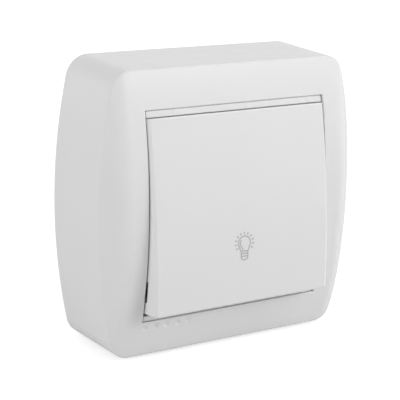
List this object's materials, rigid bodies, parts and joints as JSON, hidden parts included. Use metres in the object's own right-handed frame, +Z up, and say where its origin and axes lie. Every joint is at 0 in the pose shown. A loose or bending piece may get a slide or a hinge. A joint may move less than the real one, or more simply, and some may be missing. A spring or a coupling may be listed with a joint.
{
  "type": "illuminated push-button switch",
  "caption": "Surface-mounted wall push-button: bulging crowned cover, full-face tilted press plate with a lamp symbol, pilot lamp behind it, spring return and screw terminals.",
  "frame": {"origin": "middle of the back face, on the wall", "axes": "+X to the right and +Z up as it hangs on the wall, the button faces -Y"},
  "size_m": [0.08, 0.033, 0.078],
  "materials": {
    "cover_white": "moulded thermoplastic, glossy",
    "base_white": "moulded thermoplastic, satin",
    "frame_white": "moulded thermoplastic, glossy",
    "button_white": "moulded thermoplastic, glossy",
    "rocker_white": "moulded, dull",
    "housing_white": "moulded, dull",
    "lid_grey": "moulded, dull",
    "clear_plastic": "clear moulded plastic",
    "spring_steel": "drawn wire",
    "blade_bronze": "rolled spring bronze",
    "contact_silver": "silver alloy",
    "brass": "stamped strip",
    "cage_steel": "zinc plated",
    "screw_steel": "zinc plated",
    "lamp_glass": "clear glass",
    "resistor_body": "lacquered",
    "tinned_wire": "tinned"
  },
  "bodies": {
    "fixed": {"cover": "cover_white", "base": "base_white", "front_frame": "frame_white", "mechanism_housing": "housing_white", "mechanism_cover": "lid_grey", "return_spring": "spring_steel", "fixed_contact": "contact_silver", "line_bar": "brass", "load_bar": "brass", "neutral_bar": "brass", "terminal_cage_line": "cage_steel", "terminal_cage_load": "cage_steel", "terminal_cage_neutral": "cage_steel", "terminal_screws": "screw_steel", "mechanism_screws": "screw_steel", "pilot_lamp": "lamp_glass", "lamp_resistor": "resistor_body", "lamp_lead_line": "tinned_wire", "lamp_lead_neutral": "tinned_wire"},
    "push": {"button": "button_white", "rocker": "rocker_white", "light_guide": "clear_plastic"},
    "blade": {"contact_blade": "blade_bronze", "moving_contact": "contact_silver"}
  },
  "joints": [
    {"name": "button_press", "type": "hinge", "parent": "fixed", "child": "push", "pos_m": [0, -0.022, 0], "axis": [1, 0, 0], "range_deg": [0, 9.5], "stiffness_Nm_per_rad": 0.12, "springref_deg": -20.05, "deforming": ["return_spring"]},
    {"name": "blade_flex", "type": "hinge", "parent": "fixed", "child": "blade", "pos_m": [0, -0.01146, 0.006], "axis": [1, 0, 0], "range_deg": [0, 5.61]}
  ],
  "couplings": [
    {"joint": "blade_flex", "follows": "button_press", "ratio": 0.58484}
  ]
}
